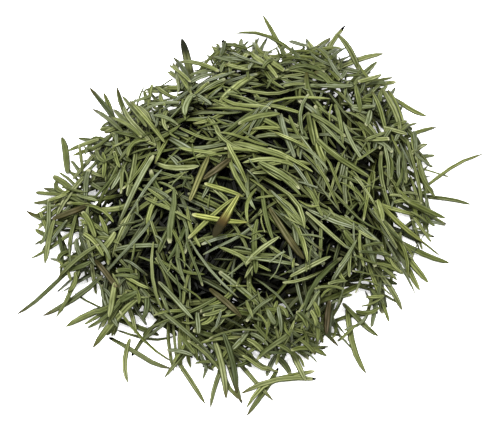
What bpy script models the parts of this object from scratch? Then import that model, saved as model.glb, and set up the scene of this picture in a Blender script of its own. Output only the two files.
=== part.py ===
"""A loose heap of stripped rosemary leaves, lying on a table.

The heap is a low mound of narrow leaves that lie across each other at all angles. A solid mound stands for the
leaves inside. The outer ones are laid on it by one rule: a leaf comes down on what lies there already and stops on
two points, one either side of its middle. The green ones are fused to the mound and to each other where they touch,
and the few yellow and brown ones, which lie on top, stay separate. Lengths are in metres, +Z is up, and the origin
is the middle of the heap's box, on the table.
"""

import math
import random
from dataclasses import dataclass

import bmesh
import bpy
import numpy as np
from mathutils import Vector
from mathutils.bvhtree import BVHTree

MM = 0.001

# One leaf: leathery and narrow, blunt where it was torn from the stem and pointed at the other end.
# Stations are places along it, from -0.5 to 0.5, with the share of the full width there.
LEAF_SHORTEST, LEAF_USUAL, LEAF_LONGEST = 16 * MM, 24 * MM, 34 * MM
LEAF_NARROWEST, LEAF_WIDEST = 2.1 * MM, 3.0 * MM
LEAF_THICKNESS = 1.0 * MM
LEAF_STATIONS = ((-0.5, 0.7), (0.15, 1.0), (0.5, 0.0))
LEAF_SECTION = ((-0.5, -0.5), (0.5, -0.5), (0.0, 0.5))
MOST_BOW = 0.06
MOST_CURL = 0.06

# The heap: how far it reaches from its middle, every 30 degrees from +X round towards +Y
HEAP_REACH = [r * MM for r in (84, 89, 95, 90, 78, 78, 93, 89, 81, 76, 75, 78)]
HEAP_MIDDLE = (-2 * MM, 0 * MM)
MOUND_HEIGHT = 30 * MM
MOUND_INSET = 10 * MM
MOUND_FULLNESS = 0.8
MOUND_SIDES = 11
MOUND_RINGS = 5

# Leaves that stick out of the edge: where the tip is in millimetres, where it points in degrees, and the length
EDGE_LEAVES = (
    (102, 35, 41, 35), (98, 8, -6, 24), (87, -24, -23, 24), (83, 46, 31, 20), (78, 50, -37, 18),
    (59, 85, 30, 27), (41, 100, 69, 27), (36, 92, 51, 19), (25, 92, 109, 20), (6, 103, 115, 25),
    (-5, 99, 150, 30), (-11, 89, 81, 20), (-36, 79, 107, 25), (-38, 73, 130, 20), (-48, 63, 160, 20),
    (-73, 66, 120, 34), (-66, 64, 104, 27), (-62, 66, 111, 29), (-84, 41, 95, 20), (-78, 41, 147, 21),
    (-92, 16, 142, 33), (-101, 1, 157, 29), (-97, -23, 214, 28), (-101, -51, 228, 36), (-92, -50, 212, 32),
    (-84, -52, 250, 34), (-82, -54, 198, 26), (-70, -65, 220, 27), (-56, -82, 265, 22), (-38, -80, 227, 25),
    (-20, -92, 302, 24), (-19, -94, 251, 27), (-8, -93, 286, 30), (-4, -92, 288, 35), (-2, -98, 238, 27),
    (-5, -86, 196, 34), (9, -92, 307, 30), (24, -82, 296, 19), (38, -66, 323, 21), (47, -78, 280, 33),
    (55, -60, 316, 21), (67, -46, 311, 20), (74, -37, 296, 20), (78, -33, 311, 31),
)

# Green leaves that can be told apart on top of the heap: where the middle is, where it points, and the length
TOP_LEAVES = (
    (-52, 1, 243, 34), (-33, 10, -10, 20), (-16, 39, -15, 24), (-24, 27, -37, 20), (-3, 23, -25, 22),
    (10, -48, -38, 24), (24, -41, 33, 22), (53, -36, 0, 18), (64, -26, -50, 31), (33, -21, -37, 24),
    (29, -42, 234, 33), (-70, -2, -30, 26), (40, 16, -26, 28), (16, -6, -43, 34), (7, 52, 2, 24),
    (6, 21, -25, 23), (36, 8, -73, 20), (73, 17, -74, 33), (47, -13, -32, 21), (31, 0, -58, 28),
    (58, 10, -81, 27), (26, 31, -80, 19), (41, 45, -58, 25), (-51, -23, 41, 34), (-18, -39, -48, 34),
    (-43, -40, -82, 31), (-29, -56, 15, 34), (-47, -64, -42, 31), (-33, -50, -52, 24), (-27, -64, -36, 28),
)

# Leaves of another colour on top: colour, where the middle is in millimetres, heading in degrees, length, width
ODD_LEAVES = (
    ("yellow", -18, -17, 44, 27, 2.6), ("yellow", -14, -19, -16, 25, 3.0), ("browned", -11, -18, 242, 24, 4.2),
    ("yellow", -12, -4, -16, 18, 2.6), ("browned", -15, 7, 38, 16, 3.6), ("browned", -23, 2, 69, 23, 3.2),
    ("browned", 15, -24, -59, 28, 3.6), ("browned", -11, -53, -48, 22, 3.2), ("browned", 33, -56, -98, 15, 3.0),
    ("yellow", 65, -9, -35, 25, 2.8), ("browned", -64, -35, 120, 20, 3.0), ("browned", -80, -2, 10, 17, 3.4),
    ("dark_tipped", -29, 80, 100, 24, 4.0),
)

# How the leaves are laid
SEED = 33
SPREAD_LEAVES = 222
BUNDLE_SHARE = 0.06
BUNDLE_SPACING = 2.4 * MM
SINK = 0.2 * MM
TABLE_GAP = 0.3 * MM
CLEARANCE = 0.3 * MM
STEEPEST_ON_TOP = math.tan(math.radians(14))
STEEPEST_AT_EDGE = math.tan(math.radians(36))
BED_CELL = 0.75 * MM
BED_CELLS = 160
GOLDEN_ANGLE = math.pi * (3 - math.sqrt(5))

COLOURS = {
    "green": (0.16, 0.20, 0.075, 1.0),
    "yellow": (0.42, 0.43, 0.12, 1.0),
    "browned": (0.13, 0.085, 0.045, 1.0),
    "dark_tipped": (0.10, 0.11, 0.05, 1.0),
}


@dataclass
class Leaf:
    """One leaf. Its middle is at x, y and z; slope is how far it rises from end to end."""

    x: float
    y: float
    heading: float
    length: float
    width: float
    bow: float = 0.0
    curl: float = 0.0
    roll: float = 0.0
    slope: float = 0.0
    z: float = 0.0


def reach(angle):
    """How far the heap reaches in a direction, eased from one stated value to the next."""
    step = (math.degrees(angle) % 360) / 30
    before = int(step)
    share = (1 - math.cos(math.pi * (step - before))) / 2
    return HEAP_REACH[before % 12] * (1 - share) + HEAP_REACH[(before + 1) % 12] * share


def new_bed(mound_tree):
    """The height of what a leaf would come down on, in square cells over the table and the mound."""
    places = [i * BED_CELL for i in range(-BED_CELLS, BED_CELLS + 1)]
    bed = np.full((len(places), len(places)), TABLE_GAP + SINK)
    for i, x in enumerate(places):
        for j, y in enumerate(places):
            top = mound_tree.ray_cast((x, y, 1.0), (0, 0, -1))[0]
            if top:
                bed[i, j] = max(bed[i, j], top.z)
    return bed


def cells(x, y):
    """The cells of the bed at these places."""
    return tuple(
        np.clip(np.rint(p / BED_CELL).astype(int) + BED_CELLS, 0, 2 * BED_CELLS) for p in (x, y)
    )


def random_leaf(draw, x, y, heading):
    return Leaf(
        x=x,
        y=y,
        heading=heading,
        length=draw.triangular(LEAF_SHORTEST, LEAF_LONGEST, LEAF_USUAL),
        width=draw.uniform(LEAF_NARROWEST, LEAF_WIDEST),
        bow=draw.uniform(-MOST_BOW, MOST_BOW),
        curl=draw.uniform(-MOST_CURL, MOST_CURL / 3),
        roll=draw.gauss(0, 0.4) + draw.choice((0, 0, math.pi)),
    )


def spread_leaves(draw, count):
    """Leaves spread evenly over the heap in a random order, some of them in bundles of parallel ones."""
    leaves = []
    for i in range(count):
        angle = i * GOLDEN_ANGLE + draw.uniform(-0.1, 0.1)
        away = math.sqrt((i + 0.5) / count) * (reach(angle) - 6 * MM)
        x, y = HEAP_MIDDLE[0] + away * math.cos(angle), HEAP_MIDDLE[1] + away * math.sin(angle)
        near_edge = away > reach(angle) - 20 * MM
        heading = angle + math.pi / 2 + draw.gauss(0, 0.7) if near_edge else draw.uniform(0, math.tau)
        bundle = [random_leaf(draw, x, y, heading)]
        if draw.random() < BUNDLE_SHARE:
            for k in (1, 2, 3):
                aside = k * BUNDLE_SPACING
                turned = heading + draw.gauss(0, 0.06)
                bundle.append(
                    random_leaf(draw, x - aside * math.sin(heading), y + aside * math.cos(heading), turned)
                )
        leaves.append(bundle)
    draw.shuffle(leaves)
    return [leaf for bundle in leaves for leaf in bundle]


def placed_leaf(draw, x, y, pointing, length, middle_at=0.0):
    """A leaf of a stated place, heading and length. The place is its middle, or the share of its length past it."""
    heading = math.radians(pointing)
    back = middle_at * length
    leaf = random_leaf(draw, (x - back * math.cos(heading)) * MM, (y - back * math.sin(heading)) * MM, heading)
    leaf.length = length * MM
    return leaf


def outer_leaves(draw):
    """The green leaves in the order in which they are laid."""
    leaves = spread_leaves(draw, SPREAD_LEAVES)
    for edge_leaf in EDGE_LEAVES:
        later = draw.randrange(len(leaves) // 2, len(leaves))
        leaves.insert(later, placed_leaf(draw, *edge_leaf, middle_at=0.5))
    return leaves + [placed_leaf(draw, *top_leaf) for top_leaf in TOP_LEAVES]


def bowed(leaf, s, across):
    """Where a point of the leaf is from its middle, s along it and some way across it: along and aside."""
    return s * leaf.length, across + (4 * s**2 - 1 / 3) * leaf.bow * leaf.length


def plan(leaf, s, across):
    """Where a point of the leaf lies on the table."""
    along, aside = bowed(leaf, s, across)
    c, k = math.cos(leaf.heading), math.sin(leaf.heading)
    return leaf.x + along * c - aside * k, leaf.y + along * k + aside * c


def rise(leaf, s):
    """How far the leaf's line stands above its middle, s along it."""
    return leaf.slope * s + leaf.curl * leaf.length * 4 * s**2


def rolled_section(leaf):
    """The corners of the leaf's section after its roll, as two arrays: across and up."""
    c, k = math.cos(leaf.roll), math.sin(leaf.roll)
    corners = [(y * leaf.width, z * LEAF_THICKNESS) for y, z in LEAF_SECTION]
    return np.array([(c * y - k * z, k * y + c * z) for y, z in corners]).T


def section_heights(leaf, across):
    """The underside and the top of the rolled section, at places across it."""
    y, z = rolled_section(leaf)
    low, high = np.full(len(across), np.inf), np.full(len(across), -np.inf)
    for i, j in ((0, 1), (1, 2), (2, 0)):
        share = (across - y[i]) / (y[j] - y[i])
        on_side = (share >= 0) & (share <= 1)
        side = z[i] + share * (z[j] - z[i])
        low = np.where(on_side, np.minimum(low, side), low)
        high = np.where(on_side, np.maximum(high, side), high)
    return low, high


def steepest(leaf):
    """How steep the leaf may lie: nearly level on top of the heap, more at its edge."""
    x, y = leaf.x - HEAP_MIDDLE[0], leaf.y - HEAP_MIDDLE[1]
    share = min(math.hypot(x, y) / reach(math.atan2(y, x)), 1.0)
    return STEEPEST_ON_TOP + (STEEPEST_AT_EDGE - STEEPEST_ON_TOP) * share**2


def lay(leaf, bed):
    """Lets the leaf down until it rests on two points, one either side of its middle, and adds it to the bed."""
    y, _ = rolled_section(leaf)
    across = np.linspace(y.min(), y.max(), 7)[1:-1]
    low, high = section_heights(leaf, across)
    s = np.linspace(-0.48, 0.48, 36)
    taper = np.interp(s, *zip(*LEAF_STATIONS))
    under = cells(*plan(leaf, s, across[:, None] * taper))
    leaf.slope = 0.0
    need = np.max(bed[under] - low[:, None] * taper, axis=0) - rise(leaf, s)
    before, after = s < 0, s > 0
    run = s[after] - s[before][:, None]
    at_middle = (need[before][:, None] * s[after] - need[after] * s[before][:, None]) / run
    i, j = np.unravel_index(at_middle.argmax(), at_middle.shape)
    most = steepest(leaf) * leaf.length
    leaf.slope = float(np.clip((need[after][j] - need[before][i]) / run[i, j], -most, most))
    leaf.z = float(np.max(need - leaf.slope * s)) - SINK
    np.maximum.at(bed, under, leaf.z + rise(leaf, s) + high[:, None] * taper)


def straight_leaf():
    """A leaf of unit length along X and unit width, three-sided, which every leaf is a bent copy of."""
    bm = bmesh.new()
    ring = bmesh.ops.create_circle(bm, cap_ends=True, radius=1.0, segments=3)["verts"]
    for v, (y, z) in zip(ring, LEAF_SECTION):
        v.co = Vector((LEAF_STATIONS[0][0], y * LEAF_STATIONS[0][1], z))
    torn_end = end = bm.faces[:][0]
    for (_, width_before), (s, width) in zip(LEAF_STATIONS, LEAF_STATIONS[1:]):
        grown = bmesh.ops.extrude_face_region(bm, geom=[end])["geom"]
        if end is not torn_end:
            bmesh.ops.delete(bm, geom=[end], context="FACES_ONLY")
        end = next(g for g in grown if isinstance(g, bmesh.types.BMFace))
        for v in end.verts:
            v.co.x = s
            v.co.y *= width / width_before
            if width == 0:
                v.co.z = 0
    bmesh.ops.remove_doubles(bm, verts=bm.verts, dist=0.01 * MM)
    bmesh.ops.recalc_face_normals(bm, faces=bm.faces)
    mesh = bpy.data.meshes.new("straight_leaf")
    bm.to_mesh(mesh)
    bm.free()
    return mesh


def laid_leaf(name, pattern, leaf, collection):
    """A copy of the straight leaf, rolled and bent, where the leaf was laid."""
    mesh = pattern.copy()
    c, k = math.cos(leaf.roll), math.sin(leaf.roll)
    for v in mesh.vertices:
        s, across, up = v.co.x, v.co.y * leaf.width, v.co.z * LEAF_THICKNESS
        along, aside = bowed(leaf, s, c * across - k * up)
        v.co = Vector((along, aside, max(rise(leaf, s) + k * across + c * up, TABLE_GAP - leaf.z)))
    obj = bpy.data.objects.new(name, mesh)
    obj.location = (leaf.x, leaf.y, leaf.z)
    obj.rotation_euler.z = leaf.heading
    collection.objects.link(obj)
    return obj


def mound(name, collection):
    """The solid middle that stands for the inner leaves: flat underneath and rounded above."""
    bm = bmesh.new()
    bmesh.ops.create_uvsphere(bm, u_segments=MOUND_SIDES, v_segments=2 * MOUND_RINGS, radius=1.0)
    everything = bm.verts[:] + bm.edges[:] + bm.faces[:]
    bmesh.ops.bisect_plane(bm, geom=everything, plane_co=(0, 0, 0), plane_no=(0, 0, -1), clear_outer=True)
    bmesh.ops.contextual_create(bm, geom=[e for e in bm.edges if e.is_boundary])
    for v in bm.verts:
        angle, share = math.atan2(v.co.y, v.co.x), min(math.hypot(v.co.x, v.co.y), 1.0)
        away = share * (reach(angle) - MOUND_INSET)
        x, y = HEAP_MIDDLE[0] + away * math.cos(angle), HEAP_MIDDLE[1] + away * math.sin(angle)
        v.co = Vector((x, y, MOUND_HEIGHT * (1 - share**2) ** MOUND_FULLNESS if v.co.z > 0.001 else 0.0))
    bmesh.ops.recalc_face_normals(bm, faces=bm.faces)
    mesh = bpy.data.meshes.new(name)
    bm.to_mesh(mesh)
    bm.free()
    obj = bpy.data.objects.new(name, mesh)
    collection.objects.link(obj)
    return obj


def fuse(obj, repeats):
    """Joins every object of the collection to this one, and removes them."""
    union = obj.modifiers.new("fuse", "BOOLEAN")
    union.operation = "UNION"
    union.operand_type = "COLLECTION"
    union.collection = repeats
    union.solver = "MANIFOLD"
    bpy.context.view_layer.objects.active = obj
    bpy.ops.object.modifier_apply(modifier=union.name)
    for repeat in list(repeats.objects):
        bpy.data.objects.remove(repeat)
    bpy.data.collections.remove(repeats)


def drop_scraps(obj):
    """Keeps the body with the most faces and drops the leaves that touch nothing."""
    bm = bmesh.new()
    bm.from_mesh(obj.data)
    bmesh.ops.triangulate(bm, faces=bm.faces)
    unseen, bodies = set(bm.faces), []
    while unseen:
        body, edge_of_body = set(), [unseen.pop()]
        while edge_of_body:
            face = edge_of_body.pop()
            body.add(face)
            beside = {f for e in face.edges for f in e.link_faces} & unseen
            unseen -= beside
            edge_of_body.extend(beside)
        bodies.append(body)
    largest = max(bodies, key=len)
    bmesh.ops.delete(bm, geom=[f for b in bodies if b is not largest for f in b], context="FACES")
    bm.to_mesh(obj.data)
    bm.free()


def tree_of(obj, swell=0.0):
    """The object's surface for touch tests, swollen outwards by a distance."""
    bm = bmesh.new()
    bm.from_mesh(obj.data)
    bm.transform(obj.matrix_basis)
    bm.normal_update()
    for v in bm.verts:
        v.co += v.normal * swell
    tree = BVHTree.FromBMesh(bm)
    bm.free()
    return tree


def lift_clear(obj, others):
    """Raises a separate leaf until it is clear of everything it lies on."""
    while any(tree_of(obj, CLEARANCE).overlap(other) for other in others):
        obj.location.z += 0.1 * MM


def centre(objects):
    """Moves the objects so that the origin is the middle of their box, seen from above. The table stays at zero."""
    corners = [obj.matrix_basis @ v.co for obj in objects for v in obj.data.vertices]
    low, high = Vector(map(min, zip(*corners))), Vector(map(max, zip(*corners)))
    for obj in objects:
        obj.location.xy -= (low.xy + high.xy) / 2


def finish(obj, colour):
    """Gives the object a material of its own: leathery and slightly glossy."""
    material = bpy.data.materials.new(obj.name)
    material.use_nodes = True
    shader = material.node_tree.nodes["Principled BSDF"]
    shader.inputs["Base Color"].default_value = COLOURS[colour]
    shader.inputs["Roughness"].default_value = 0.5
    shader.inputs["Metallic"].default_value = 0.0
    obj.data.materials.clear()
    obj.data.materials.append(material)


def main():
    for obj in list(bpy.data.objects):
        bpy.data.objects.remove(obj)
    scene = bpy.context.scene.collection
    draw = random.Random(SEED)
    heap = mound("leaf_heap", scene)
    bed = new_bed(tree_of(heap))
    pattern = straight_leaf()
    repeats = bpy.data.collections.new("outer_leaves")
    scene.children.link(repeats)
    for i, leaf in enumerate(outer_leaves(draw)):
        lay(leaf, bed)
        laid_leaf(f"outer_leaf_{i}", pattern, leaf, repeats)
    fuse(heap, repeats)
    drop_scraps(heap)
    finish(heap, "green")
    pieces = [heap]
    counts = dict.fromkeys(COLOURS, 0)
    for colour, x, y, heading, length, width in ODD_LEAVES:
        leaf = Leaf(x * MM, y * MM, math.radians(heading), length * MM, width * MM)
        lay(leaf, bed)
        counts[colour] += 1
        odd = laid_leaf(f"{colour}_leaf_{counts[colour]}", pattern, leaf, scene)
        lift_clear(odd, [tree_of(piece) for piece in pieces])
        finish(odd, colour)
        pieces.append(odd)
    centre(pieces)
    whole = bpy.data.objects.new("rosemary_heap", None)
    scene.objects.link(whole)
    for piece in pieces:
        piece.parent = whole


main()
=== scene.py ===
"""How the heap of rosemary leaves looks: every leaf of it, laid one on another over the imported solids."""

import math
import random

import bmesh
import bpy
import numpy as np
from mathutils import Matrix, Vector
from mathutils.bvhtree import BVHTree


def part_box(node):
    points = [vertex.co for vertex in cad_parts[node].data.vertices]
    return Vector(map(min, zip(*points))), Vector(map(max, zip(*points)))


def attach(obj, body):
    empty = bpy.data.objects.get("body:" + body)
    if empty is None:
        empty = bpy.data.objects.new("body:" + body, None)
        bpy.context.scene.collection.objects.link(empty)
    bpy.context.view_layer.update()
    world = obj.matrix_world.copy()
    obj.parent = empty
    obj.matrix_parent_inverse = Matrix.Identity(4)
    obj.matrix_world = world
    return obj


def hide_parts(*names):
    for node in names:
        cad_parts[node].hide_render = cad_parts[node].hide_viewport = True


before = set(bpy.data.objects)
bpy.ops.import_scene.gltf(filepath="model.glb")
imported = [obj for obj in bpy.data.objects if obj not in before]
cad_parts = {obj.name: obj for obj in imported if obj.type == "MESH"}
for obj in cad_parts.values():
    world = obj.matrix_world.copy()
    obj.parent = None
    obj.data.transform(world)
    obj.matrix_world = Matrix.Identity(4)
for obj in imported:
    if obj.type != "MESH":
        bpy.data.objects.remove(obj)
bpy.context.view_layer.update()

# The table and the light.
# A plain pale table that glows a little, in a bright tent with a lamp overhead, as for a product photograph.
# The table's glow is painted light: it fills in the heap's shadows on it so they all but vanish, while the gaps
# between its leaves stay dark.
TABLE_HALF_SIZE = 1.5
TABLE_GLOW = 0.43
TABLE_ROUGHNESS = 0.7
TABLE_GRAIN_SCALE = 60.0
TABLE_DARKEST, TABLE_PALEST = (0.93, 0.93, 0.93, 1.0), (0.96, 0.96, 0.96, 1.0)
SKY_STRENGTH = 2.0
# Name, place, how wide and how strong
LAMPS = (
    ("overhead_lamp", (-0.3, 0.05, 1.0), 0.25, 23.0),
    ("side_lamp", (0.7, -0.3, 0.6), 0.4, 4.0),
)

table = bmesh.new()
bmesh.ops.create_grid(table, x_segments=1, y_segments=1, size=TABLE_HALF_SIZE)
table_mesh = bpy.data.meshes.new("table")
table.to_mesh(table_mesh)
table.free()
table_top = bpy.data.objects.new("table", table_mesh)
bpy.context.scene.collection.objects.link(table_top)
table_paint = bpy.data.materials.new("white_table")
table_paint.use_nodes = True
paint_nodes, paint_links = table_paint.node_tree.nodes, table_paint.node_tree.links
paint_shader = paint_nodes["Principled BSDF"]
paint_shader.inputs["Roughness"].default_value = TABLE_ROUGHNESS
# Painted light: the table glows so that the heap's shadows on it fade
paint_shader.inputs["Emission Color"].default_value = (1.0, 1.0, 1.0, 1.0)
paint_shader.inputs["Emission Strength"].default_value = TABLE_GLOW
paint_grain = paint_nodes.new("ShaderNodeTexNoise")
paint_grain.inputs["Scale"].default_value = TABLE_GRAIN_SCALE
paint_tone = paint_nodes.new("ShaderNodeValToRGB")
paint_tone.color_ramp.elements[0].color = TABLE_DARKEST
paint_tone.color_ramp.elements[1].color = TABLE_PALEST
paint_place = paint_nodes.new("ShaderNodeTexCoord")
paint_links.new(paint_place.outputs["Object"], paint_grain.inputs["Vector"])
paint_links.new(paint_grain.outputs["Fac"], paint_tone.inputs["Fac"])
paint_links.new(paint_tone.outputs["Color"], paint_shader.inputs["Base Color"])
table_mesh.materials.append(table_paint)

sky = bpy.data.worlds.new("studio")
bpy.context.scene.world = sky
sky.use_nodes = True
sky.node_tree.nodes["Background"].inputs["Color"].default_value = (1.0, 1.0, 1.0, 1.0)
sky.node_tree.nodes["Background"].inputs["Strength"].default_value = SKY_STRENGTH

for name, place, size, power in LAMPS:
    lamp = bpy.data.lights.new(name, "AREA")
    lamp.shape = "DISK"
    lamp.size = size
    lamp.energy = power
    lamp_object = bpy.data.objects.new(name, lamp)
    lamp_object.location = place
    lamp_object.rotation_euler = (-Vector(place)).to_track_quat("-Z", "Y").to_euler()
    bpy.context.scene.collection.objects.link(lamp_object)

# The camera.
# It looks down on the heap from the front at about 62 degrees, as the photograph does, from far off with a
# long lens. The spot it looks at and how much it sees are set from the photo's frame of 500 by 431.
VIEW_HEIGHT = math.radians(62)
VIEW_DISTANCE = 2.0
VIEW_WIDTH = 0.2225
VIEW_CENTRE = Vector((-0.0013, -0.0022, 0.0))

camera = bpy.data.cameras.new("camera")
camera.sensor_width = 36.0
camera.lens = camera.sensor_width * VIEW_DISTANCE / VIEW_WIDTH
camera_object = bpy.data.objects.new("camera", camera)
towards_camera = Vector((0.0, -math.cos(VIEW_HEIGHT), math.sin(VIEW_HEIGHT)))
camera_object.location = VIEW_CENTRE + VIEW_DISTANCE * towards_camera
camera_object.rotation_euler = (math.pi / 2 - VIEW_HEIGHT, 0.0, 0.0)
bpy.context.scene.collection.objects.link(camera_object)
bpy.context.scene.camera = camera_object
bpy.context.scene.view_settings.view_transform = "Standard"

# One leaf.
# A rosemary leaf is leathery and straight-sided, with a groove along its upper face and its edges rolled
# under. It is blunt and pale where it was torn from the stem. Every leaf is a bent copy of this one.
MM = 0.001
# Places along the leaf, and how much of its width it has there
SHAPE_STATIONS = (
    (-0.5, 0.5), (-0.45, 0.82), (-0.26, 0.97), (0.0, 1.0),
    (0.22, 0.97), (0.38, 0.84), (0.47, 0.54), (0.5, 0.18),
)
# Each corner of the section: across, up, how much of a ridge it is, which sets its painted highlight or shade,
# and how far it faces down
SHAPE_SECTION = (
    (0.5, -0.12, 0.0, 0.4), (0.26, 0.36, 1.0, 0.0), (0.0, 0.02, 0.4, 0.0), (-0.26, 0.36, 1.0, 0.0),
    (-0.5, -0.12, 0.0, 0.4), (-0.26, -0.36, 0.9, 1.0), (0.0, -0.12, 0.3, 1.0), (0.26, -0.36, 0.9, 1.0),
)
THINNEST_SHARE = 0.35


def straight_leaf():
    """A leaf of unit length along X, unit width and thickness, with its ridges and underside marked."""
    bm = bmesh.new()
    ridge = bm.verts.layers.float.new("ridge")
    under = bm.verts.layers.float.new("under")
    bmesh.ops.create_circle(bm, cap_ends=True, radius=1.0, segments=len(SHAPE_SECTION))
    for v, (across, up, ridged, facing_down) in zip(bm.verts, SHAPE_SECTION):
        v.co = Vector((SHAPE_STATIONS[0][0], across * SHAPE_STATIONS[0][1], up * SHAPE_STATIONS[0][1]))
        v[ridge], v[under] = ridged, facing_down
    torn_end = end = bm.faces[:][0]
    for (_, width_before), (s, width) in zip(SHAPE_STATIONS, SHAPE_STATIONS[1:]):
        grown = bmesh.ops.extrude_face_region(bm, geom=[end])["geom"]
        if end is not torn_end:
            bmesh.ops.delete(bm, geom=[end], context="FACES_ONLY")
        end = next(g for g in grown if isinstance(g, bmesh.types.BMFace))
        for v in end.verts:
            v.co.x = s
            v.co.y *= width / width_before
            v.co.z *= max(width, THINNEST_SHARE) / max(width_before, THINNEST_SHARE)
    bmesh.ops.recalc_face_normals(bm, faces=bm.faces)
    flat = bm.loops.layers.uv.new("leaf")
    for face in bm.faces:
        face.smooth = True
        for loop in face.loops:
            loop[flat].uv = (loop.vert.co.x + 0.5, loop.vert.co.y + 0.5)
    mesh = bpy.data.meshes.new("straight_leaf")
    bm.to_mesh(mesh)
    bm.free()
    return mesh


# Fine streaks run along each leaf and differ from leaf to leaf. The mottle runs on over the whole heap
STREAK_STRETCH = (2.0, 10.0, 1.0)
STREAK_SCALE, STREAK_DETAIL = 1.0, 3.0
STREAK_SHIFT = 40.0
STREAK_HEIGHT, STREAK_RELIEF = 0.15 * MM, 0.35
MOTTLE_SCALE, MOTTLE_DETAIL = 260.0, 4.0
UNDERSIDE_SHARE = 0.65
BLOOM = (1.0, 0.98, 1.35)
TORN_END_LENGTH = 0.09
TIP_FADE = 0.3
SKIN_SPECULAR = 0.06
ROUGHER, SMOOTHER = 0.1, 0.06


def leaf_skin(name, colours, torn_end, tip, underside, roughness):
    """The skin of a leaf: its own tint, painted highlights on its ridges with painted shade in its groove and
    under its edges, painted shade and light by depth, and fine streaks along it.
    """
    material = bpy.data.materials.new(name)
    material.use_nodes = True
    nodes, links = material.node_tree.nodes, material.node_tree.links
    shader = nodes["Principled BSDF"]

    def marked(attribute):
        node = nodes.new("ShaderNodeAttribute")
        node.attribute_name = attribute
        return node.outputs["Fac"]

    def ramp(value, *stops):
        node = nodes.new("ShaderNodeValToRGB")
        elements = node.color_ramp.elements
        while len(elements) < len(stops):
            elements.new(0.5)
        for element, (at, colour) in zip(elements, stops):
            element.position = at
            element.color = (*colour, 1.0)
        links.new(value, node.inputs["Fac"])
        return node.outputs["Color"]

    def mixed(kind, share, first, second):
        node = nodes.new("ShaderNodeMix")
        node.data_type, node.blend_type = "RGBA", kind
        for socket, value in ((node.inputs[0], share), (node.inputs[6], first), (node.inputs[7], second)):
            if isinstance(value, bpy.types.NodeSocket):
                links.new(value, socket)
            else:
                socket.default_value = value if socket.type == "VALUE" else (*value, 1.0)
        return node.outputs[2]

    def noise(vector, scale, detail):
        node = nodes.new("ShaderNodeTexNoise")
        node.inputs["Scale"].default_value = scale
        node.inputs["Detail"].default_value = detail
        links.new(vector, node.inputs["Vector"])
        return node.outputs["Fac"]

    place = nodes.new("ShaderNodeTexCoord")
    flat = nodes.new("ShaderNodeUVMap")
    flat.uv_map = "leaf"
    stretched = nodes.new("ShaderNodeMapping")
    stretched.inputs["Scale"].default_value = STREAK_STRETCH
    own_streaks = nodes.new("ShaderNodeMath")
    own_streaks.operation = "MULTIPLY"
    own_streaks.inputs[1].default_value = STREAK_SHIFT
    links.new(marked("tint"), own_streaks.inputs[0])
    links.new(own_streaks.outputs[0], stretched.inputs["Location"])
    links.new(flat.outputs["UV"], stretched.inputs["Vector"])
    streaks = noise(stretched.outputs["Vector"], STREAK_SCALE, STREAK_DETAIL)
    mottle = noise(place.outputs["Object"], MOTTLE_SCALE, MOTTLE_DETAIL)
    along = nodes.new("ShaderNodeSeparateXYZ")
    links.new(flat.outputs["UV"], along.inputs["Vector"])

    colour = ramp(marked("tint"), (0.0, colours[0]), (0.5, colours[1]), (1.0, colours[2]))
    colour = mixed("MIX", marked("under"), colour, mixed("MIX", UNDERSIDE_SHARE, colour, underside))
    colour = mixed("MULTIPLY", marked("bloom"), colour, BLOOM)
    # Painted highlights on the ridges, paler and bluer, and painted shade in the groove and under the
    # rolled-under edges
    ridge_light_and_shade = ramp(
        marked("ridge"), (0.0, (0.06, 0.08, 0.05)), (0.4, (0.42, 0.45, 0.36)), (1.0, (1.95, 1.85, 2.35))
    )
    colour = mixed("MULTIPLY", marked("lined"), colour, ridge_light_and_shade)
    mottle_tones = ramp(mottle, (0.3, (0.7, 0.72, 0.64)), (0.7, (1.0, 1.0, 1.0)))
    colour = mixed("MULTIPLY", 1.0, colour, mottle_tones)
    streak_tones = ramp(streaks, (0.4, (0.42, 0.45, 0.36)), (0.58, (1.25, 1.22, 1.36)))
    colour = mixed("MULTIPLY", 1.0, colour, streak_tones)
    near_torn_end = ramp(along.outputs["X"], (0.0, (1.0, 1.0, 1.0)), (TORN_END_LENGTH, (0.0, 0.0, 0.0)))
    at_torn_end = mixed("MULTIPLY", 1.0, near_torn_end, marked("end_pale"))
    colour = mixed("MIX", at_torn_end, colour, torn_end)
    past_tip_start = nodes.new("ShaderNodeMapRange")
    past_tip_start.interpolation_type = "SMOOTHSTEP"
    tip_start = marked("tip_from")
    tip_end = nodes.new("ShaderNodeMath")
    tip_end.operation = "ADD"
    tip_end.inputs[1].default_value = TIP_FADE
    links.new(tip_start, tip_end.inputs[0])
    links.new(along.outputs["X"], past_tip_start.inputs["Value"])
    links.new(tip_start, past_tip_start.inputs["From Min"])
    links.new(tip_end.outputs[0], past_tip_start.inputs["From Max"])
    at_tip = mixed("MULTIPLY", 1.0, past_tip_start.outputs["Result"], marked("tip_brown"))
    tip_tones = ramp(along.outputs["X"], (0.45, tip[0]), (0.75, tip[1]))
    colour = mixed("MIX", at_tip, colour, tip_tones)
    # Painted shade for leaves deep in the heap, and painted light for those that stand proud
    colour = mixed("MULTIPLY", 1.0, colour, marked("painted_depth_shade"))
    # Painted bounce light: where the colour is dark, mostly from the painted shade, blue is taken out, as for
    # light bounced from the green leaves around
    lightness = nodes.new("ShaderNodeRGBToBW")
    links.new(colour, lightness.inputs["Color"])
    painted_green_bounce = ramp(
        lightness.outputs["Val"], (0.0, (1.0, 1.0, 0.3)), (0.04, (1.0, 1.0, 0.8)), (0.15, (1.0, 1.0, 1.0))
    )
    colour = mixed("MULTIPLY", 1.0, colour, painted_green_bounce)
    links.new(colour, shader.inputs["Base Color"])
    shader.inputs["Specular IOR Level"].default_value = SKIN_SPECULAR

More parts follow.
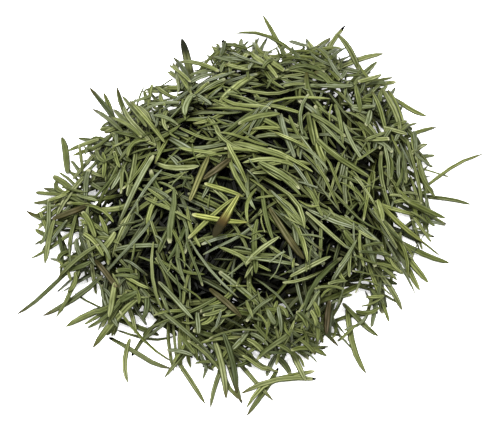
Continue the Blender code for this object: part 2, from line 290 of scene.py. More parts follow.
    roughness_range = ramp(mottle, (0.3, (roughness + ROUGHER,) * 3), (0.7, (roughness - SMOOTHER,) * 3))
    links.new(roughness_range, shader.inputs["Roughness"])
    bump = nodes.new("ShaderNodeBump")
    bump.inputs["Strength"].default_value = STREAK_RELIEF
    bump.inputs["Distance"].default_value = STREAK_HEIGHT
    links.new(streaks, bump.inputs["Height"])
    links.new(bump.outputs["Normal"], shader.inputs["Normal"])
    return material


# How the leaves lie.
# The heap was poured out, so a leaf comes down on what lies there and stops on two points, one either side of
# its middle. The rule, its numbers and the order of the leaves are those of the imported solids.
LEAF_SHORTEST, LEAF_USUAL, LEAF_LONGEST = 16 * MM, 24 * MM, 34 * MM
LEAF_NARROWEST, LEAF_WIDEST = 2.1 * MM, 3.0 * MM
LEAF_THICKNESS = 1.0 * MM
SOLID_STATIONS = ((-0.5, 0.7), (0.15, 1.0), (0.5, 0.0))
SOLID_SECTION = ((-0.5, -0.5), (0.5, -0.5), (0.0, 0.5))
MOST_BOW = 0.06
MOST_CURL = 0.06
ROLL_SPREAD = 0.4
# One leaf in three lies face down
TURNED_OVER = (0, 0, math.pi)
# How far the heap reaches from its middle, for every 30 degrees
HEAP_REACH = [r * MM for r in (84, 89, 95, 90, 78, 78, 93, 89, 81, 76, 75, 78)]
HEAP_MIDDLE = (-2 * MM, 0 * MM)
MOVED_TO_CENTRE = (-0.6018 * MM, -2.9905 * MM)
SINK = 0.2 * MM
TABLE_GAP = 0.3 * MM
STEEPEST_ON_TOP = math.tan(math.radians(14))
STEEPEST_AT_EDGE = math.tan(math.radians(36))
# The bed is a grid of how high the heap stands. It reaches this many cells to each side
BED_CELL = 0.75 * MM
BED_CELLS = 160
# A leaf is let down by its heights at this many places across and along it, as far as near its ends
PLACES_ACROSS, PLACES_ALONG = 7, 36
PLACES_TO = 0.48


class Leaf:
    """One leaf. Its middle is at x, y and z, and slope is how far it rises from end to end.

    Bow and curl bend all of it aside and upwards. The hooks and lifts do so for its tip and for its torn end.
    """

    def __init__(self, x, y, heading, length, width, bow=0.0, curl=0.0, roll=0.0):
        self.x, self.y, self.heading, self.length, self.width = x, y, heading, length, width
        self.bow, self.curl, self.roll = bow, curl, roll
        self.slope = self.z = 0.0
        self.slimness, self.thickness, self.taper, self.sharpness = 1.0, LEAF_THICKNESS, 0.0, 0.0
        self.twist = self.hook = self.back_hook = self.lift = self.back_lift = 0.0
        self.tint, self.tip_brown, self.tip_from, self.end_pale = 0.5, 0.0, 0.75, 0.5
        self.lined, self.bloom = 0.8, 0.0
        self.sticks_out, self.most_bent = False, 0.0


def eased(values, angle):
    """The value for a direction out of a list with one for every 30 degrees, eased from one to the next."""
    step = (math.degrees(angle) % 360) / 30
    before = int(step)
    share = (1 - math.cos(math.pi * (step - before))) / 2
    return values[before % 12] * (1 - share) + values[(before + 1) % 12] * share


def reach(angle):
    """How far the heap reaches in a direction."""
    return eased(HEAP_REACH, angle)


def cells(x, y):
    """The cells of the bed at these places."""
    return tuple(
        np.clip(np.rint(p / BED_CELL).astype(int) + BED_CELLS, 0, 2 * BED_CELLS) for p in (x, y)
    )


def random_leaf(draw, x, y, heading):
    """A leaf at this place and heading, of random size, bend and roll."""
    return Leaf(
        x=x,
        y=y,
        heading=heading,
        length=draw.triangular(LEAF_SHORTEST, LEAF_LONGEST, LEAF_USUAL),
        width=draw.uniform(LEAF_NARROWEST, LEAF_WIDEST),
        bow=draw.uniform(-MOST_BOW, MOST_BOW),
        curl=draw.uniform(-MOST_CURL, MOST_CURL / 3),
        roll=draw.gauss(0, ROLL_SPREAD) + draw.choice(TURNED_OVER),
    )


def plan(leaf, s, across):
    """Where a point of the leaf lies on the table, s along it and some way across it."""
    along, aside = s * leaf.length, across + (4 * s**2 - 1 / 3) * leaf.bow * leaf.length
    c, k = math.cos(leaf.heading), math.sin(leaf.heading)
    return leaf.x + along * c - aside * k, leaf.y + along * k + aside * c


def rise(leaf, s):
    """How far the leaf's line stands above its middle, s along it."""
    return leaf.slope * s + leaf.curl * leaf.length * 4 * s**2


def rolled_section(leaf):
    """The corners of the leaf's section after its roll, as two arrays: across and up."""
    c, k = math.cos(leaf.roll), math.sin(leaf.roll)
    corners = [(y * leaf.width, z * LEAF_THICKNESS) for y, z in SOLID_SECTION]
    return np.array([(c * y - k * z, k * y + c * z) for y, z in corners]).T


def section_heights(leaf, across):
    """The underside and the top of the rolled section, at places across it."""
    y, z = rolled_section(leaf)
    low, high = np.full(len(across), np.inf), np.full(len(across), -np.inf)
    for i, j in ((0, 1), (1, 2), (2, 0)):
        share = (across - y[i]) / (y[j] - y[i])
        on_side = (share >= 0) & (share <= 1)
        side = z[i] + share * (z[j] - z[i])
        low = np.where(on_side, np.minimum(low, side), low)
        high = np.where(on_side, np.maximum(high, side), high)
    return low, high


def steepest(leaf):
    """How steep the leaf may lie: nearly level on top of the heap, more at its edge."""
    x, y = leaf.x - HEAP_MIDDLE[0], leaf.y - HEAP_MIDDLE[1]
    share = min(math.hypot(x, y) / reach(math.atan2(y, x)), 1.0)
    return STEEPEST_ON_TOP + (STEEPEST_AT_EDGE - STEEPEST_ON_TOP) * share**2


def let_down(leaf, bed, sink=SINK):
    """Lets the leaf down until it rests on two points.

    It gives the cells of the bed that the leaf covers, and how high it reaches in each.
    """
    y, _ = rolled_section(leaf)
    across = np.linspace(y.min(), y.max(), PLACES_ACROSS)[1:-1]
    low, high = section_heights(leaf, across)
    s = np.linspace(-PLACES_TO, PLACES_TO, PLACES_ALONG)
    taper = np.interp(s, *zip(*SOLID_STATIONS))
    covered = cells(*plan(leaf, s, across[:, None] * taper))
    leaf.slope = 0.0
    need = np.max(bed[covered] - low[:, None] * taper, axis=0) - rise(leaf, s)
    before, after = s < 0, s > 0
    run = s[after] - s[before][:, None]
    at_middle = (need[before][:, None] * s[after] - need[after] * s[before][:, None]) / run
    i, j = np.unravel_index(at_middle.argmax(), at_middle.shape)
    most = steepest(leaf) * leaf.length
    leaf.slope = float(np.clip((need[after][j] - need[before][i]) / run[i, j], -most, most))
    leaf.z = float(np.max(need - leaf.slope * s)) - sink
    return covered, leaf.z + rise(leaf, s) + high[:, None] * taper


def lay(leaf, bed):
    """Lets the leaf down and raises the bed to its top."""
    covered, tops = let_down(leaf, bed)
    np.maximum.at(bed, covered, tops)
    return covered


# The outer green leaves.
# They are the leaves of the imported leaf_heap, each in its place: some are spread over the heap, some stick
# out of its edge as in the photograph, and some are those that can be told apart on top.
MOUND_HEIGHT = 30 * MM
MOUND_INSET = 10 * MM
MOUND_FULLNESS = 0.8
MOUND_SIDES = 11
MOUND_RINGS = 5
# A corner of the mound no higher than this share of its height lies on the table
ON_THE_TABLE = 0.001
ABOVE_THE_HEAP = 1.0
SEED = 33
SPREAD_LEAVES = 222
SPREAD_JITTER = 0.1
SPREAD_INSET = 6 * MM
EDGE_BAND = 20 * MM
TURN_AT_EDGE = 0.7
BUNDLE_SHARE = 0.06
BUNDLE_SIZE = 4
BUNDLE_SPACING = 2.4 * MM
BUNDLE_TURN = 0.06
GOLDEN_ANGLE = math.pi * (3 - math.sqrt(5))
# Where the tip is in millimetres, where it points in degrees, and the length
EDGE_LEAVES = (
    (102, 35, 41, 35), (98, 8, -6, 24), (87, -24, -23, 24), (83, 46, 31, 20), (78, 50, -37, 18),
    (59, 85, 30, 27), (41, 100, 69, 27), (36, 92, 51, 19), (25, 92, 109, 20), (6, 103, 115, 25),
    (-5, 99, 150, 30), (-11, 89, 81, 20), (-36, 79, 107, 25), (-38, 73, 130, 20), (-48, 63, 160, 20),
    (-73, 66, 120, 34), (-66, 64, 104, 27), (-62, 66, 111, 29), (-84, 41, 95, 20), (-78, 41, 147, 21),
    (-92, 16, 142, 33), (-101, 1, 157, 29), (-97, -23, 214, 28), (-101, -51, 228, 36), (-92, -50, 212, 32),
    (-84, -52, 250, 34), (-82, -54, 198, 26), (-70, -65, 220, 27), (-56, -82, 265, 22), (-38, -80, 227, 25),
    (-20, -92, 302, 24), (-19, -94, 251, 27), (-8, -93, 286, 30), (-4, -92, 288, 35), (-2, -98, 238, 27),
    (-5, -86, 196, 34), (9, -92, 307, 30), (24, -82, 296, 19), (38, -66, 323, 21), (47, -78, 280, 33),
    (55, -60, 316, 21), (67, -46, 311, 20), (74, -37, 296, 20), (78, -33, 311, 31),
)
# How far the tips of some of them bend aside, as a share of their length
BENT_TIPS = {
    0: -0.1, 1: -0.1, 6: -0.1, 10: 0.15, 16: 0.05, 21: -0.05,
    22: -0.08, 23: -0.12, 28: 0.06, 32: 0.12, 35: 0.3,
}
# Where the middle is in millimetres, where it points in degrees, and the length
TOP_LEAVES = (
    (-52, 1, 243, 34), (-33, 10, -10, 20), (-16, 39, -15, 24), (-24, 27, -37, 20), (-3, 23, -25, 22),
    (10, -48, -38, 24), (24, -41, 33, 22), (53, -36, 0, 18), (64, -26, -50, 31), (33, -21, -37, 24),
    (29, -42, 234, 33), (-70, -2, -30, 26), (40, 16, -26, 28), (16, -6, -43, 34), (7, 52, 2, 24),
    (6, 21, -25, 23), (36, 8, -73, 20), (73, 17, -74, 33), (47, -13, -32, 21), (31, 0, -58, 28),
    (58, 10, -81, 27), (26, 31, -80, 19), (41, 45, -58, 25), (-51, -23, 41, 34), (-18, -39, -48, 34),
    (-43, -40, -82, 31), (-29, -56, 15, 34), (-47, -64, -42, 31), (-33, -50, -52, 24), (-27, -64, -36, 28),
)
# Colour, where the middle is in millimetres, where it points in degrees, the length and the width
ODD_LEAVES = (
    ("yellow", -18, -17, 44, 27, 2.6),
    ("yellow", -14, -19, -16, 25, 3.0),
    ("browned", -11, -18, 242, 24, 4.2),
    ("yellow", -12, -4, -16, 18, 2.6),
    ("browned", -15, 7, 38, 16, 3.6),
    ("browned", -23, 2, 69, 23, 3.2),
    ("browned", 15, -24, -59, 28, 3.6),
    ("browned", -11, -53, -48, 22, 3.2),
    ("browned", 33, -56, -98, 15, 3.0),
    ("yellow", 65, -9, -35, 25, 2.8),
    ("browned", -64, -35, 120, 20, 3.0),
    ("browned", -80, -2, 10, 17, 3.4),
    ("dark_tipped", -29, 80, 100, 24, 4.0),
)


def mound_tops():
    """The top of the solids' mound in every cell of the bed, and the table around it."""
    bm = bmesh.new()
    bmesh.ops.create_uvsphere(bm, u_segments=MOUND_SIDES, v_segments=2 * MOUND_RINGS, radius=1.0)
    everything = bm.verts[:] + bm.edges[:] + bm.faces[:]
    bmesh.ops.bisect_plane(bm, geom=everything, plane_co=(0, 0, 0), plane_no=(0, 0, -1), clear_outer=True)
    for v in bm.verts:
        angle, share = math.atan2(v.co.y, v.co.x), min(math.hypot(v.co.x, v.co.y), 1.0)
        away = share * (reach(angle) - MOUND_INSET)
        x, y = HEAP_MIDDLE[0] + away * math.cos(angle), HEAP_MIDDLE[1] + away * math.sin(angle)
        height = MOUND_HEIGHT * (1 - share**2) ** MOUND_FULLNESS if v.co.z > ON_THE_TABLE else 0.0
        v.co = Vector((x, y, height))
    mound = BVHTree.FromBMesh(bm)
    bm.free()
    places = [i * BED_CELL for i in range(-BED_CELLS, BED_CELLS + 1)]
    tops = np.full((len(places), len(places)), TABLE_GAP + SINK)
    for i, x in enumerate(places):
        for j, y in enumerate(places):
            top = mound.ray_cast((x, y, ABOVE_THE_HEAP), (0, 0, -1))[0]
            if top:
                tops[i, j] = max(tops[i, j], top.z)
    return tops


def spread_leaves(draw, count):
    """Leaves spread evenly over the heap in a random order, some of them in bundles of parallel ones."""
    leaves = []
    for i in range(count):
        angle = i * GOLDEN_ANGLE + draw.uniform(-SPREAD_JITTER, SPREAD_JITTER)
        away = math.sqrt((i + 0.5) / count) * (reach(angle) - SPREAD_INSET)
        x, y = HEAP_MIDDLE[0] + away * math.cos(angle), HEAP_MIDDLE[1] + away * math.sin(angle)
        if away > reach(angle) - EDGE_BAND:
            heading = angle + math.pi / 2 + draw.gauss(0, TURN_AT_EDGE)
        else:
            heading = draw.uniform(0, math.tau)
        bundle = [random_leaf(draw, x, y, heading)]
        if draw.random() < BUNDLE_SHARE:
            for k in range(1, BUNDLE_SIZE):
                aside = k * BUNDLE_SPACING
                turned = heading + draw.gauss(0, BUNDLE_TURN)
                beside = (x - aside * math.sin(heading), y + aside * math.cos(heading))
                bundle.append(random_leaf(draw, *beside, turned))
        leaves.append(bundle)
    draw.shuffle(leaves)
    return [leaf for bundle in leaves for leaf in bundle]


def placed_leaf(draw, x, y, pointing, length, middle_at=0.0):
    """A leaf of a stated place, heading and length. The place is its middle, or its tip for middle_at 0.5."""
    heading = math.radians(pointing)
    back = middle_at * length
    x, y = x - back * math.cos(heading), y - back * math.sin(heading)
    leaf = random_leaf(draw, x * MM, y * MM, heading)
    leaf.length = length * MM
    return leaf


order = random.Random(SEED)
outer = spread_leaves(order, SPREAD_LEAVES)
for number, edge_leaf in enumerate(EDGE_LEAVES):
    later = order.randrange(len(outer) // 2, len(outer))
    leaf = placed_leaf(order, *edge_leaf, middle_at=0.5)
    leaf.sticks_out, leaf.most_bent = True, BENT_TIPS.get(number, 0.0)
    outer.insert(later, leaf)
top_leaves = [placed_leaf(order, *top_leaf) for top_leaf in TOP_LEAVES]
mound = mound_tops()
bed = mound.copy()
kept_clear = np.zeros(bed.shape, bool)
for leaf in outer:
    lay(leaf, bed)
for leaf in top_leaves:
    kept_clear[lay(leaf, bed)] = True
outer += top_leaves
odd_leaves = []
for colour, x, y, heading, length, width in ODD_LEAVES:
    leaf = Leaf(x * MM, y * MM, math.radians(heading), length * MM, width * MM)
    kept_clear[lay(leaf, bed)] = True
    odd_leaves.append((colour, leaf))

# The leaves inside the heap, under its edge and between the outer ones.
# A real heap of this size holds some two thousand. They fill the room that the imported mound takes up, down to
# the table. Others lie in the low places between the outer leaves, and short ones round the rim.
INNER_SEED, UNDER_SEED = 5, 8
INNER_LEAVES = 2400
INNER_INSET = MOUND_INSET + 3 * MM
INNER_DEPTH = 3.0 * MM
INNER_SINK = 0.5 * MM
LOOSE_LEAVES = 220
LOOSE_ABOVE = 0.5 * MM
MORE_BOW = 0.05
# Leaves on the table under the edge: how far inside it they start and end, and how high they may pile up
UNDER_LEAVES = 960
UNDER_FROM, UNDER_TO = 54 * MM, 9 * MM
UNDER_TOP = 5 * MM
BETWEEN_LEAVES = 620
BETWEEN_INSET = 6 * MM
BETWEEN_HEIGHT = 8 * MM
# Few lie between the outer ones here: the place, its radius and how few
DEEPEST_GAPS = (-16 * MM, 3 * MM, 34 * MM)
LEFT_OUT_THERE = 0.85
SCRAPS = 330
SCRAP_INSET = 4 * MM
SCRAP_LENGTHS, SCRAP_WIDTHS = (5 * MM, 14 * MM), (0.8 * MM, 1.5 * MM)
RIM_LEAVES = 700
RIM_FROM, RIM_TO = 24 * MM, 3 * MM
RIM_ABOVE = 1.5 * MM
RIM_SHORTEST, RIM_LONGEST = 11 * MM, 27 * MM
RIM_BOW = 0.08
RIM_TURN = 1.0
SHORTER_POINTING_OUT = 0.4
FRONT_SPILL = 5 * MM
# Fewer short leaves lie between these directions
OPEN_RIM_FROM, OPEN_RIM_TO, OPEN_SHARE = math.radians(140), math.radians(215), 0.3
# How far the short leaves stay back from the heap's reach, for every 30 degrees
RIM_INSETS = [r * MM for r in (0, 2, 2, 1, 6, 1, -2, 4, 2, 2, 1, 5)]
# More leaves that stick out of the edge, as the ones above, each with how far its tip bends
MORE_EDGE_LEAVES = (
    (-71, 55, 121, 26, 0.0), (-58, 56, 115, 27, 0.0), (-54, 50, 120, 30, 0.04), (-62, 50, 118, 25, 0.0),
    (-59, 47, 121, 26, -0.04), (-62, 43, 129, 22, 0.0), (-36, 74, 110, 26, 0.0), (-34, 79, 106, 27, 0.05),
    (-37, 70, 126, 17, 0.0), (-32, 77, 142, 22, 0.0), (-12, 85, 83, 13, -0.05), (40, 88, 124, 16, 0.08),
    (59, 69, 38, 14, 0.0), (62, 62, 105, 24, 0.0), (59, 60, 110, 24, 0.0), (55, 57, 102, 24, 0.0),
    (86, -5, -18, 18, 0.0), (-91, -27, 262, 22, 0.0), (-86, -34, 211, 22, 0.0), (-82, 31, 180, 14, 0.1),
    (-38, -79, 320, 31, 0.18), (-62, -57, 262, 16, 0.0), (-10, -90, 284, 26, 0.0),
    (-5, -88, 286, 24, -0.05), (-5, -87, 194, 34, 0.0),
)
# Where the table shows near the edge: the middle of each spot and its radius in millimetres
OPEN_SPOTS = (
    (-81, 17, 4), (-73, 23, 2), (-69, 9, 2.5), (-64, 0, 1.5), (-80, -13, 4), (-87, -18, 2), (-71, -37, 4),
    (-77, -43, 3), (-69, -46, 3.5), (-51, -54, 3.5), (-39, -62, 4), (66, -3, 2.5), (69, -14, 3),
    (57, 40, 3), (8, 81, 2.5), (44, 72, 3), (-21, 70, 3), (-36, 57, 3), (46, -42, 4), (42, -51, 4),
)
# How far above its ceiling a leaf may stand, and how many places are tried for each
STANDS_ABOVE, BETWEEN_STANDS_ABOVE, SCRAPS_STAND_ABOVE = 0.5 * MM, 2.5 * MM, 3 * MM
TRIES = 7
# How many cells of the bed to each side count as near
NEIGHBOURS = 6


def anywhere(draw, inset):
    """A random place in the heap, this far or further from its edge, and any heading."""
    angle = draw.uniform(0, math.tau)
    away = math.sqrt(draw.random()) * (reach(angle) - inset)
    x, y = HEAP_MIDDLE[0] + away * math.cos(angle), HEAP_MIDDLE[1] + away * math.sin(angle)
    leaf = random_leaf(draw, x, y, draw.uniform(0, math.tau))
    leaf.bow = draw.gauss(0, MORE_BOW)
    return leaf


def under_the_edge(draw):
    """A leaf that lies on the table under the sloping edge of the heap."""
    angle = draw.uniform(0, math.tau)
    away = reach(angle) - draw.uniform(UNDER_TO, UNDER_FROM)
    x, y = HEAP_MIDDLE[0] + away * math.cos(angle), HEAP_MIDDLE[1] + away * math.sin(angle)
    return random_leaf(draw, x, y, draw.uniform(0, math.tau))


def in_a_gap(draw):
    """A leaf anywhere but seldom in the middle, where the gaps in the heap are deepest."""
    while True:
        leaf = anywhere(draw, BETWEEN_INSET)
        away = math.hypot(leaf.x - DEEPEST_GAPS[0], leaf.y - DEEPEST_GAPS[1]) / DEEPEST_GAPS[2]
        if draw.random() > LEFT_OUT_THERE * math.exp(-(away**2)):
            return leaf


def scrap(draw):
    """A thin bit of a leaf or of its stalk."""
    leaf = anywhere(draw, SCRAP_INSET)
    leaf.length, leaf.width = draw.uniform(*SCRAP_LENGTHS), draw.uniform(*SCRAP_WIDTHS)
    return leaf


def at_the_rim(draw):
    """A short leaf near the edge of the heap, shorter if it points out, seldom where the edge is open."""
    angle = draw.uniform(0, math.tau)
    while OPEN_RIM_FROM < angle < OPEN_RIM_TO and draw.random() < OPEN_SHARE:
        angle = draw.uniform(0, math.tau)
    away = reach(angle) - eased(RIM_INSETS, angle) - draw.uniform(RIM_TO, RIM_FROM)
    away += FRONT_SPILL * max(-math.sin(angle), 0.0)
    x, y = HEAP_MIDDLE[0] + away * math.cos(angle), HEAP_MIDDLE[1] + away * math.sin(angle)
    turn = draw.gauss(0, RIM_TURN)
    leaf = random_leaf(draw, x, y, angle + math.pi / 2 + turn)
    leaf.length = draw.uniform(RIM_SHORTEST, RIM_LONGEST) * (1 - SHORTER_POINTING_OUT * abs(math.sin(turn)))
    leaf.bow = draw.gauss(0, RIM_BOW)
    return leaf


def fill(bed, ceiling, count, new_leaf, sink, keep_clear, stands_above=STANDS_ABOVE):
    """Leaves laid one by one in whichever of a few random places is furthest under the ceiling."""
    laid = []
    for _ in range(count):
        best, best_room = None, -stands_above
        for _ in range(TRIES):
            leaf = new_leaf()
            covered, tops = let_down(leaf, bed, sink)
            if keep_clear[covered].any():
                continue
            room = float(np.min(ceiling[covered] - tops))
            if room > best_room:
                best, best_room = (leaf, covered, tops), room
        if best:
            leaf, covered, tops = best
            np.maximum.at(bed, covered, tops)
            laid.append(leaf)
    return laid


def highest_near(tops):
    """The highest top within a few cells of each one."""
    highest = tops.copy()
    for axis in (0, 1):
        row = highest.copy()
        for step in range(1, NEIGHBOURS + 1):
            highest = np.maximum(highest, np.maximum(np.roll(row, step, axis), np.roll(row, -step, axis)))
    return highest


def mean_near(tops):
    """The mean of the tops within a few cells of each one."""
    for axis in (0, 1):
        tops = np.mean([np.roll(tops, step, axis) for step in range(-NEIGHBOURS, NEIGHBOURS + 1)], axis=0)
    return tops


bed_places = (np.arange(2 * BED_CELLS + 1) - BED_CELLS) * BED_CELL
left_open = np.zeros(bed.shape, bool)
for x, y, radius in OPEN_SPOTS:
    left_open |= np.hypot(bed_places[:, None] - x * MM, bed_places - y * MM) < radius * MM
kept_clear |= left_open
inner_order = random.Random(INNER_SEED)
inner_bed = np.full(bed.shape, TABLE_GAP + SINK)
inner_ceiling = np.maximum(mound - INNER_DEPTH, np.minimum(mound, INNER_DEPTH))
under_order = random.Random(UNDER_SEED)
under_ceiling = np.full(bed.shape, UNDER_TOP)
under = fill(
    inner_bed, under_ceiling, UNDER_LEAVES, lambda: under_the_edge(under_order), SINK, left_open
)
inner = fill(
    inner_bed, inner_ceiling, INNER_LEAVES, lambda: anywhere(inner_order, INNER_INSET), INNER_SINK, left_open
)
loose = fill(
    inner_bed, mound + LOOSE_ABOVE, LOOSE_LEAVES, lambda: anywhere(inner_order, MOUND_INSET), SINK, left_open
)
low_places = np.minimum(highest_near(bed), mound + BETWEEN_HEIGHT)
between = fill(
    bed, low_places, BETWEEN_LEAVES, lambda: in_a_gap(inner_order), INNER_SINK, kept_clear,
    BETWEEN_STANDS_ABOVE,
)
between += fill(
    bed, highest_near(bed), SCRAPS, lambda: scrap(inner_order), INNER_SINK, kept_clear, SCRAPS_STAND_ABOVE
)
rim_ceiling = highest_near(bed) + RIM_ABOVE
rim = fill(bed, rim_ceiling, RIM_LEAVES, lambda: at_the_rim(inner_order), SINK, kept_clear)
for *edge_leaf, most_bent in MORE_EDGE_LEAVES:
    leaf = placed_leaf(inner_order, *edge_leaf, middle_at=0.5)
    leaf.sticks_out, leaf.most_bent = True, most_bent
    lay(leaf, bed)
    rim.append(leaf)

# The green leaves as they are seen.
# Fresh leaves from grey-green to yellow-green, paler underneath and at the torn end, and a few with a brown
# tip. Shade and light are painted into them too: darker the deeper a leaf lies among the others, lighter where
# it stands proud. The outer ones, those between them and those inside are pieces of their own, none of them too
# large.
one_leaf = straight_leaf()
VARIETY_SEED = 17
# How much painted light or shade a leaf gets at these depths below the leaves around it: lighter above them,
# darker below
DEPTHS = (-3 * MM, -0.8 * MM, 0.9 * MM, 2.6 * MM)
LIGHT_AT_DEPTHS = (1.32, 1.13, 0.64, 0.02)
# Towards the rim, where the mound is lower than this, the painted shade and light fade out
SHADED_ABOVE = 16 * MM
MARKS = ("tint", "tip_brown", "tip_from", "end_pale", "lined", "bloom")
# No bent leaf reaches lower than this over the table
LOWEST = 0.1 * MM
# The least, the most and the usual width of a leaf as a share of its solid's
SLIMNESSES = (0.4, 1.25, 0.78)
THICKNESSES = (0.85, 1.15)
TAPER_SPREAD = 0.1
SHARPNESSES = (-0.1, 1.2)
MOST_TWIST = 0.6
HOOK_SPREAD, BACK_HOOK_SPREAD, LIFT_SPREAD = 0.08, 0.05, 0.025
BROWN_TIPS = (0.0, 0.0, 0.0, 0.0, 0.2, 0.3, 0.85)
TIP_STARTS = (0.72, 0.9)
LEAST_LINED = 0.3
# The leaves that stick out lie flatter, are straighter and more often have a brown tip
ROLL_AT_EDGE = 0.3
SLIMNESSES_AT_EDGE = (0.85, 1.15)
SHARPNESSES_AT_EDGE = (0.5, 1.3)
BROWN_TIPS_AT_EDGE = (0.0, 0.5, 0.9)
TIP_STARTS_AT_EDGE = (0.7, 0.85)
heap_around = mean_near(bed)


def vary(leaf, draw, tint, tint_spread, most_dip):
    """Gives a leaf what differs from one leaf to the next apart from how it lies."""
    leaf.slimness = draw.triangular(*SLIMNESSES)
    leaf.thickness = draw.uniform(*THICKNESSES) * LEAF_THICKNESS
    leaf.taper = draw.gauss(0, TAPER_SPREAD)
    leaf.sharpness = draw.uniform(*SHARPNESSES)
    leaf.twist = draw.uniform(-MOST_TWIST, MOST_TWIST)
    leaf.hook, leaf.back_hook = draw.gauss(0, HOOK_SPREAD), draw.gauss(0, BACK_HOOK_SPREAD)
    leaf.lift, leaf.back_lift = draw.gauss(0, LIFT_SPREAD), -abs(draw.gauss(0, most_dip))
    leaf.tint = min(max(draw.gauss(tint, tint_spread), 0.0), 1.0)
    leaf.tip_brown = draw.choice(BROWN_TIPS)
    leaf.tip_from = draw.uniform(*TIP_STARTS)
    leaf.end_pale = draw.random() ** 2
    leaf.lined, leaf.bloom = draw.uniform(LEAST_LINED, 1.0), draw.random()
    if leaf.sticks_out:
        leaf.roll = ROLL_AT_EDGE * math.sin(leaf.roll)
        leaf.slimness, leaf.taper = draw.uniform(*SLIMNESSES_AT_EDGE), 0.0
        leaf.sharpness = draw.uniform(*SHARPNESSES_AT_EDGE)
        leaf.hook, leaf.back_hook, leaf.twist = leaf.most_bent or leaf.hook / 2, 0.0, leaf.twist / 3
        leaf.tip_brown, leaf.tip_from = draw.choice(BROWN_TIPS_AT_EDGE), draw.uniform(*TIP_STARTS_AT_EDGE)


def heap_of_leaves(name, leaves, skin):
    """One piece with a copy of the leaf for each of these, rolled, twisted and bent where it was laid."""
    pattern = bpy.data.objects.new(name + "_pattern", one_leaf)
    bpy.context.scene.collection.objects.link(pattern)
    copies = pattern.modifiers.new("copies", "ARRAY")
    copies.count = len(leaves)
    copies.use_relative_offset = False
    mesh = bpy.data.meshes.new_from_object(pattern.evaluated_get(bpy.context.evaluated_depsgraph_get()))
    bpy.data.objects.remove(pattern)
    mesh.name = name

    def each(quality):
        return np.array([getattr(leaf, quality) for leaf in leaves])[:, None]

    corners = np.empty(len(mesh.vertices) * 3)
    mesh.vertices.foreach_get("co", corners)
    s, across, up = corners.reshape(len(leaves), -1, 3).transpose(2, 0, 1)
    length, heading = each("length"), each("heading")
    fullness = np.interp(s, *zip(*SHAPE_STATIONS)) ** each("sharpness")
    across = across * each("width") * each("slimness") * fullness * (1 + 2 * s * each("taper"))
    up = up * each("thickness")
    roll = each("roll") + each("twist") * s
    towards_tip, towards_torn_end = 4 * np.maximum(s, 0) ** 2, 4 * np.minimum(s, 0) ** 2
    bend = (
        (4 * s**2 - 1 / 3) * each("bow")
        + towards_tip * each("hook")
        + towards_torn_end * each("back_hook")
    )
    slant = s * each("bow") + np.maximum(s, 0) * each("hook") + np.minimum(s, 0) * each("back_hook")
    turn = np.arctan(8 * slant)
    sideways = np.cos(roll) * across - np.sin(roll) * up
    along, aside = s * length - np.sin(turn) * sideways, np.cos(turn) * sideways + bend * length
    height = np.sin(roll) * across + np.cos(roll) * up + each("z") + each("slope") * s
    lift = 4 * s**2 * each("curl") + towards_tip * each("lift") + towards_torn_end * each("back_lift")
    height = np.maximum(height + lift * length, LOWEST)
    x = each("x") + along * np.cos(heading) - aside * np.sin(heading)
    y = each("y") + along * np.sin(heading) + aside * np.cos(heading)
    placed = np.stack((x + MOVED_TO_CENTRE[0], y + MOVED_TO_CENTRE[1], height), axis=2)
    mesh.vertices.foreach_set("co", placed.ravel())
    # Painted shade and light: each point is darkened by how far it lies below the mean top of the heap around
    # it, and lightened where it stands above it
    covered_by = heap_around[cells(x, y)] - height
    marks = {q: np.broadcast_to(each(q), s.shape) for q in MARKS}
    shade = 1 - np.interp(covered_by, DEPTHS, LIGHT_AT_DEPTHS)
    marks["painted_depth_shade"] = 1 - shade * np.clip(mound[cells(x, y)] / SHADED_ABOVE, 0.0, 1.0)
    for mark, values in marks.items():
        mesh.attributes.new(mark, "FLOAT", "POINT").data.foreach_set("value", values.ravel())
    mesh.update()
    mesh.materials.append(skin)
    piece = bpy.data.objects.new(name, mesh)
    bpy.context.scene.collection.objects.link(piece)
    return piece


green_skin = leaf_skin(
    "green_leaf_skin",
    colours=((0.026, 0.034, 0.012), (0.057, 0.068, 0.018), (0.09, 0.103, 0.031)),
    torn_end=(0.199, 0.199, 0.115),
    tip=((0.059, 0.046, 0.018), (0.021, 0.016, 0.008)),
    underside=(0.081, 0.094, 0.052),
    roughness=0.5,
)
variety = random.Random(VARIETY_SEED)
half = len(inner) // 2
# Name, leaves, usual tint, its spread, and how far the torn ends dip. The usual tint is lower for the pieces
# that lie deeper in the heap, which is painted shade
for piece_name, leaves, tint, tint_spread, most_dip in (
    ("outer_leaves", outer, 0.58, 0.26, 0.03),
    ("between_leaves", between + rim, 0.54, 0.28, 0.08),
    ("loose_leaves", under + loose + inner[half:], 0.45, 0.28, 0.08),
    ("inner_leaves", inner[:half], 0.4, 0.28, 0.0),
):
    for leaf in leaves:
        vary(leaf, variety, tint, tint_spread, most_dip)
    piece = heap_of_leaves(piece_name, leaves, green_skin)
    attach(piece, "root")
    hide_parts("leaf_heap")

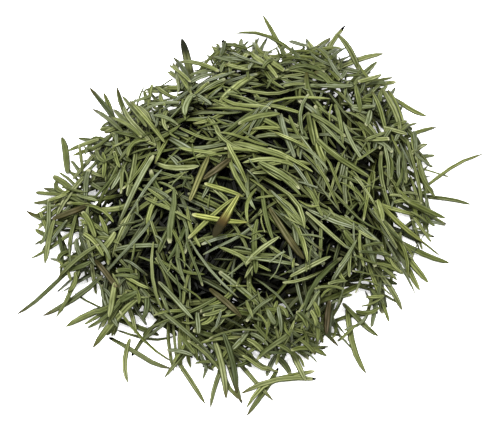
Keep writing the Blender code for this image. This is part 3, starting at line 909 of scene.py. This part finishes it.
# The yellow, browned and dark-tipped leaves.
# A few old leaves lie on top and at the edge: yellow ones, dull brown ones that have begun to dry, and a wide
# one with a dark tip. Each stands where its own solid is, let down by the gap that the solid keeps.
SOLID_CLEARANCE = 0.3 * MM
ODD_SLIMNESS, ODD_SHARPNESS = 0.95, 0.7
ODD_MOST_TWIST, ODD_MOST_HOOK = 0.4, 0.06
odd_skins = {
    "yellow": leaf_skin(
        "yellow_leaf_skin",
        colours=((0.054, 0.064, 0.018), (0.086, 0.096, 0.024), (0.126, 0.138, 0.029)),
        torn_end=(0.207, 0.203, 0.115),
        tip=((0.1, 0.092, 0.026), (0.052, 0.035, 0.012)),
        underside=(0.16, 0.176, 0.068),
        roughness=0.5,
    ),
    "browned": leaf_skin(
        "browned_leaf_skin",
        colours=((0.026, 0.02, 0.013), (0.032, 0.031, 0.015), (0.107, 0.115, 0.028)),
        torn_end=(0.077, 0.065, 0.034),
        tip=((0.036, 0.021, 0.007), (0.006, 0.005, 0.002)),
        underside=(0.054, 0.046, 0.028),
        roughness=0.62,
    ),
    "dark_tipped": leaf_skin(
        "dark_tipped_leaf_skin",
        colours=((0.029, 0.036, 0.013), (0.052, 0.061, 0.021), (0.087, 0.095, 0.035)),
        torn_end=(0.131, 0.131, 0.077),
        tip=((0.013, 0.014, 0.008), (0.004, 0.005, 0.004)),
        underside=(0.087, 0.087, 0.052),
        roughness=0.55,
    ),
}
# For each odd leaf in order: its tint, how brown its tip is, where that starts, and how much wider it gets
ODD_LOOKS = (
    (0.35, 0.2, 0.8, 0.0), (0.7, 0.4, 0.8, -0.1), (0.9, 1.0, 0.36, 0.4),
    (0.4, 0.2, 0.8, 0.0), (0.25, 0.6, 0.6, 0.1), (0.65, 0.5, 0.7, 0.1),
    (0.52, 0.7, 0.5, 0.1), (0.35, 0.6, 0.6, 0.0), (0.1, 0.4, 0.7, 0.0),
    (0.3, 0.2, 0.8, 0.0), (0.3, 0.5, 0.6, 0.0), (0.35, 0.7, 0.5, 0.0),
    (0.6, 1.0, 0.45, 0.0),
)
counts = dict.fromkeys(odd_skins, 0)
for (colour, leaf), (tint, tip_brown, tip_from, taper) in zip(odd_leaves, ODD_LOOKS):
    counts[colour] += 1
    node = f"{colour}_leaf_{counts[colour]}"
    leaf.tint, leaf.tip_brown, leaf.tip_from, leaf.taper = tint, tip_brown, tip_from, taper
    leaf.slimness, leaf.sharpness = ODD_SLIMNESS, ODD_SHARPNESS
    leaf.twist = variety.uniform(-ODD_MOST_TWIST, ODD_MOST_TWIST)
    leaf.hook = variety.uniform(-ODD_MOST_HOOK, ODD_MOST_HOOK)
    piece = heap_of_leaves("fine_" + node, [leaf], odd_skins[colour])
    lowest = min(v.co.z for v in piece.data.vertices)
    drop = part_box(node)[0].z - SOLID_CLEARANCE - lowest
    for v in piece.data.vertices:
        v.co.z += drop
    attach(piece, "root")
    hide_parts(node)
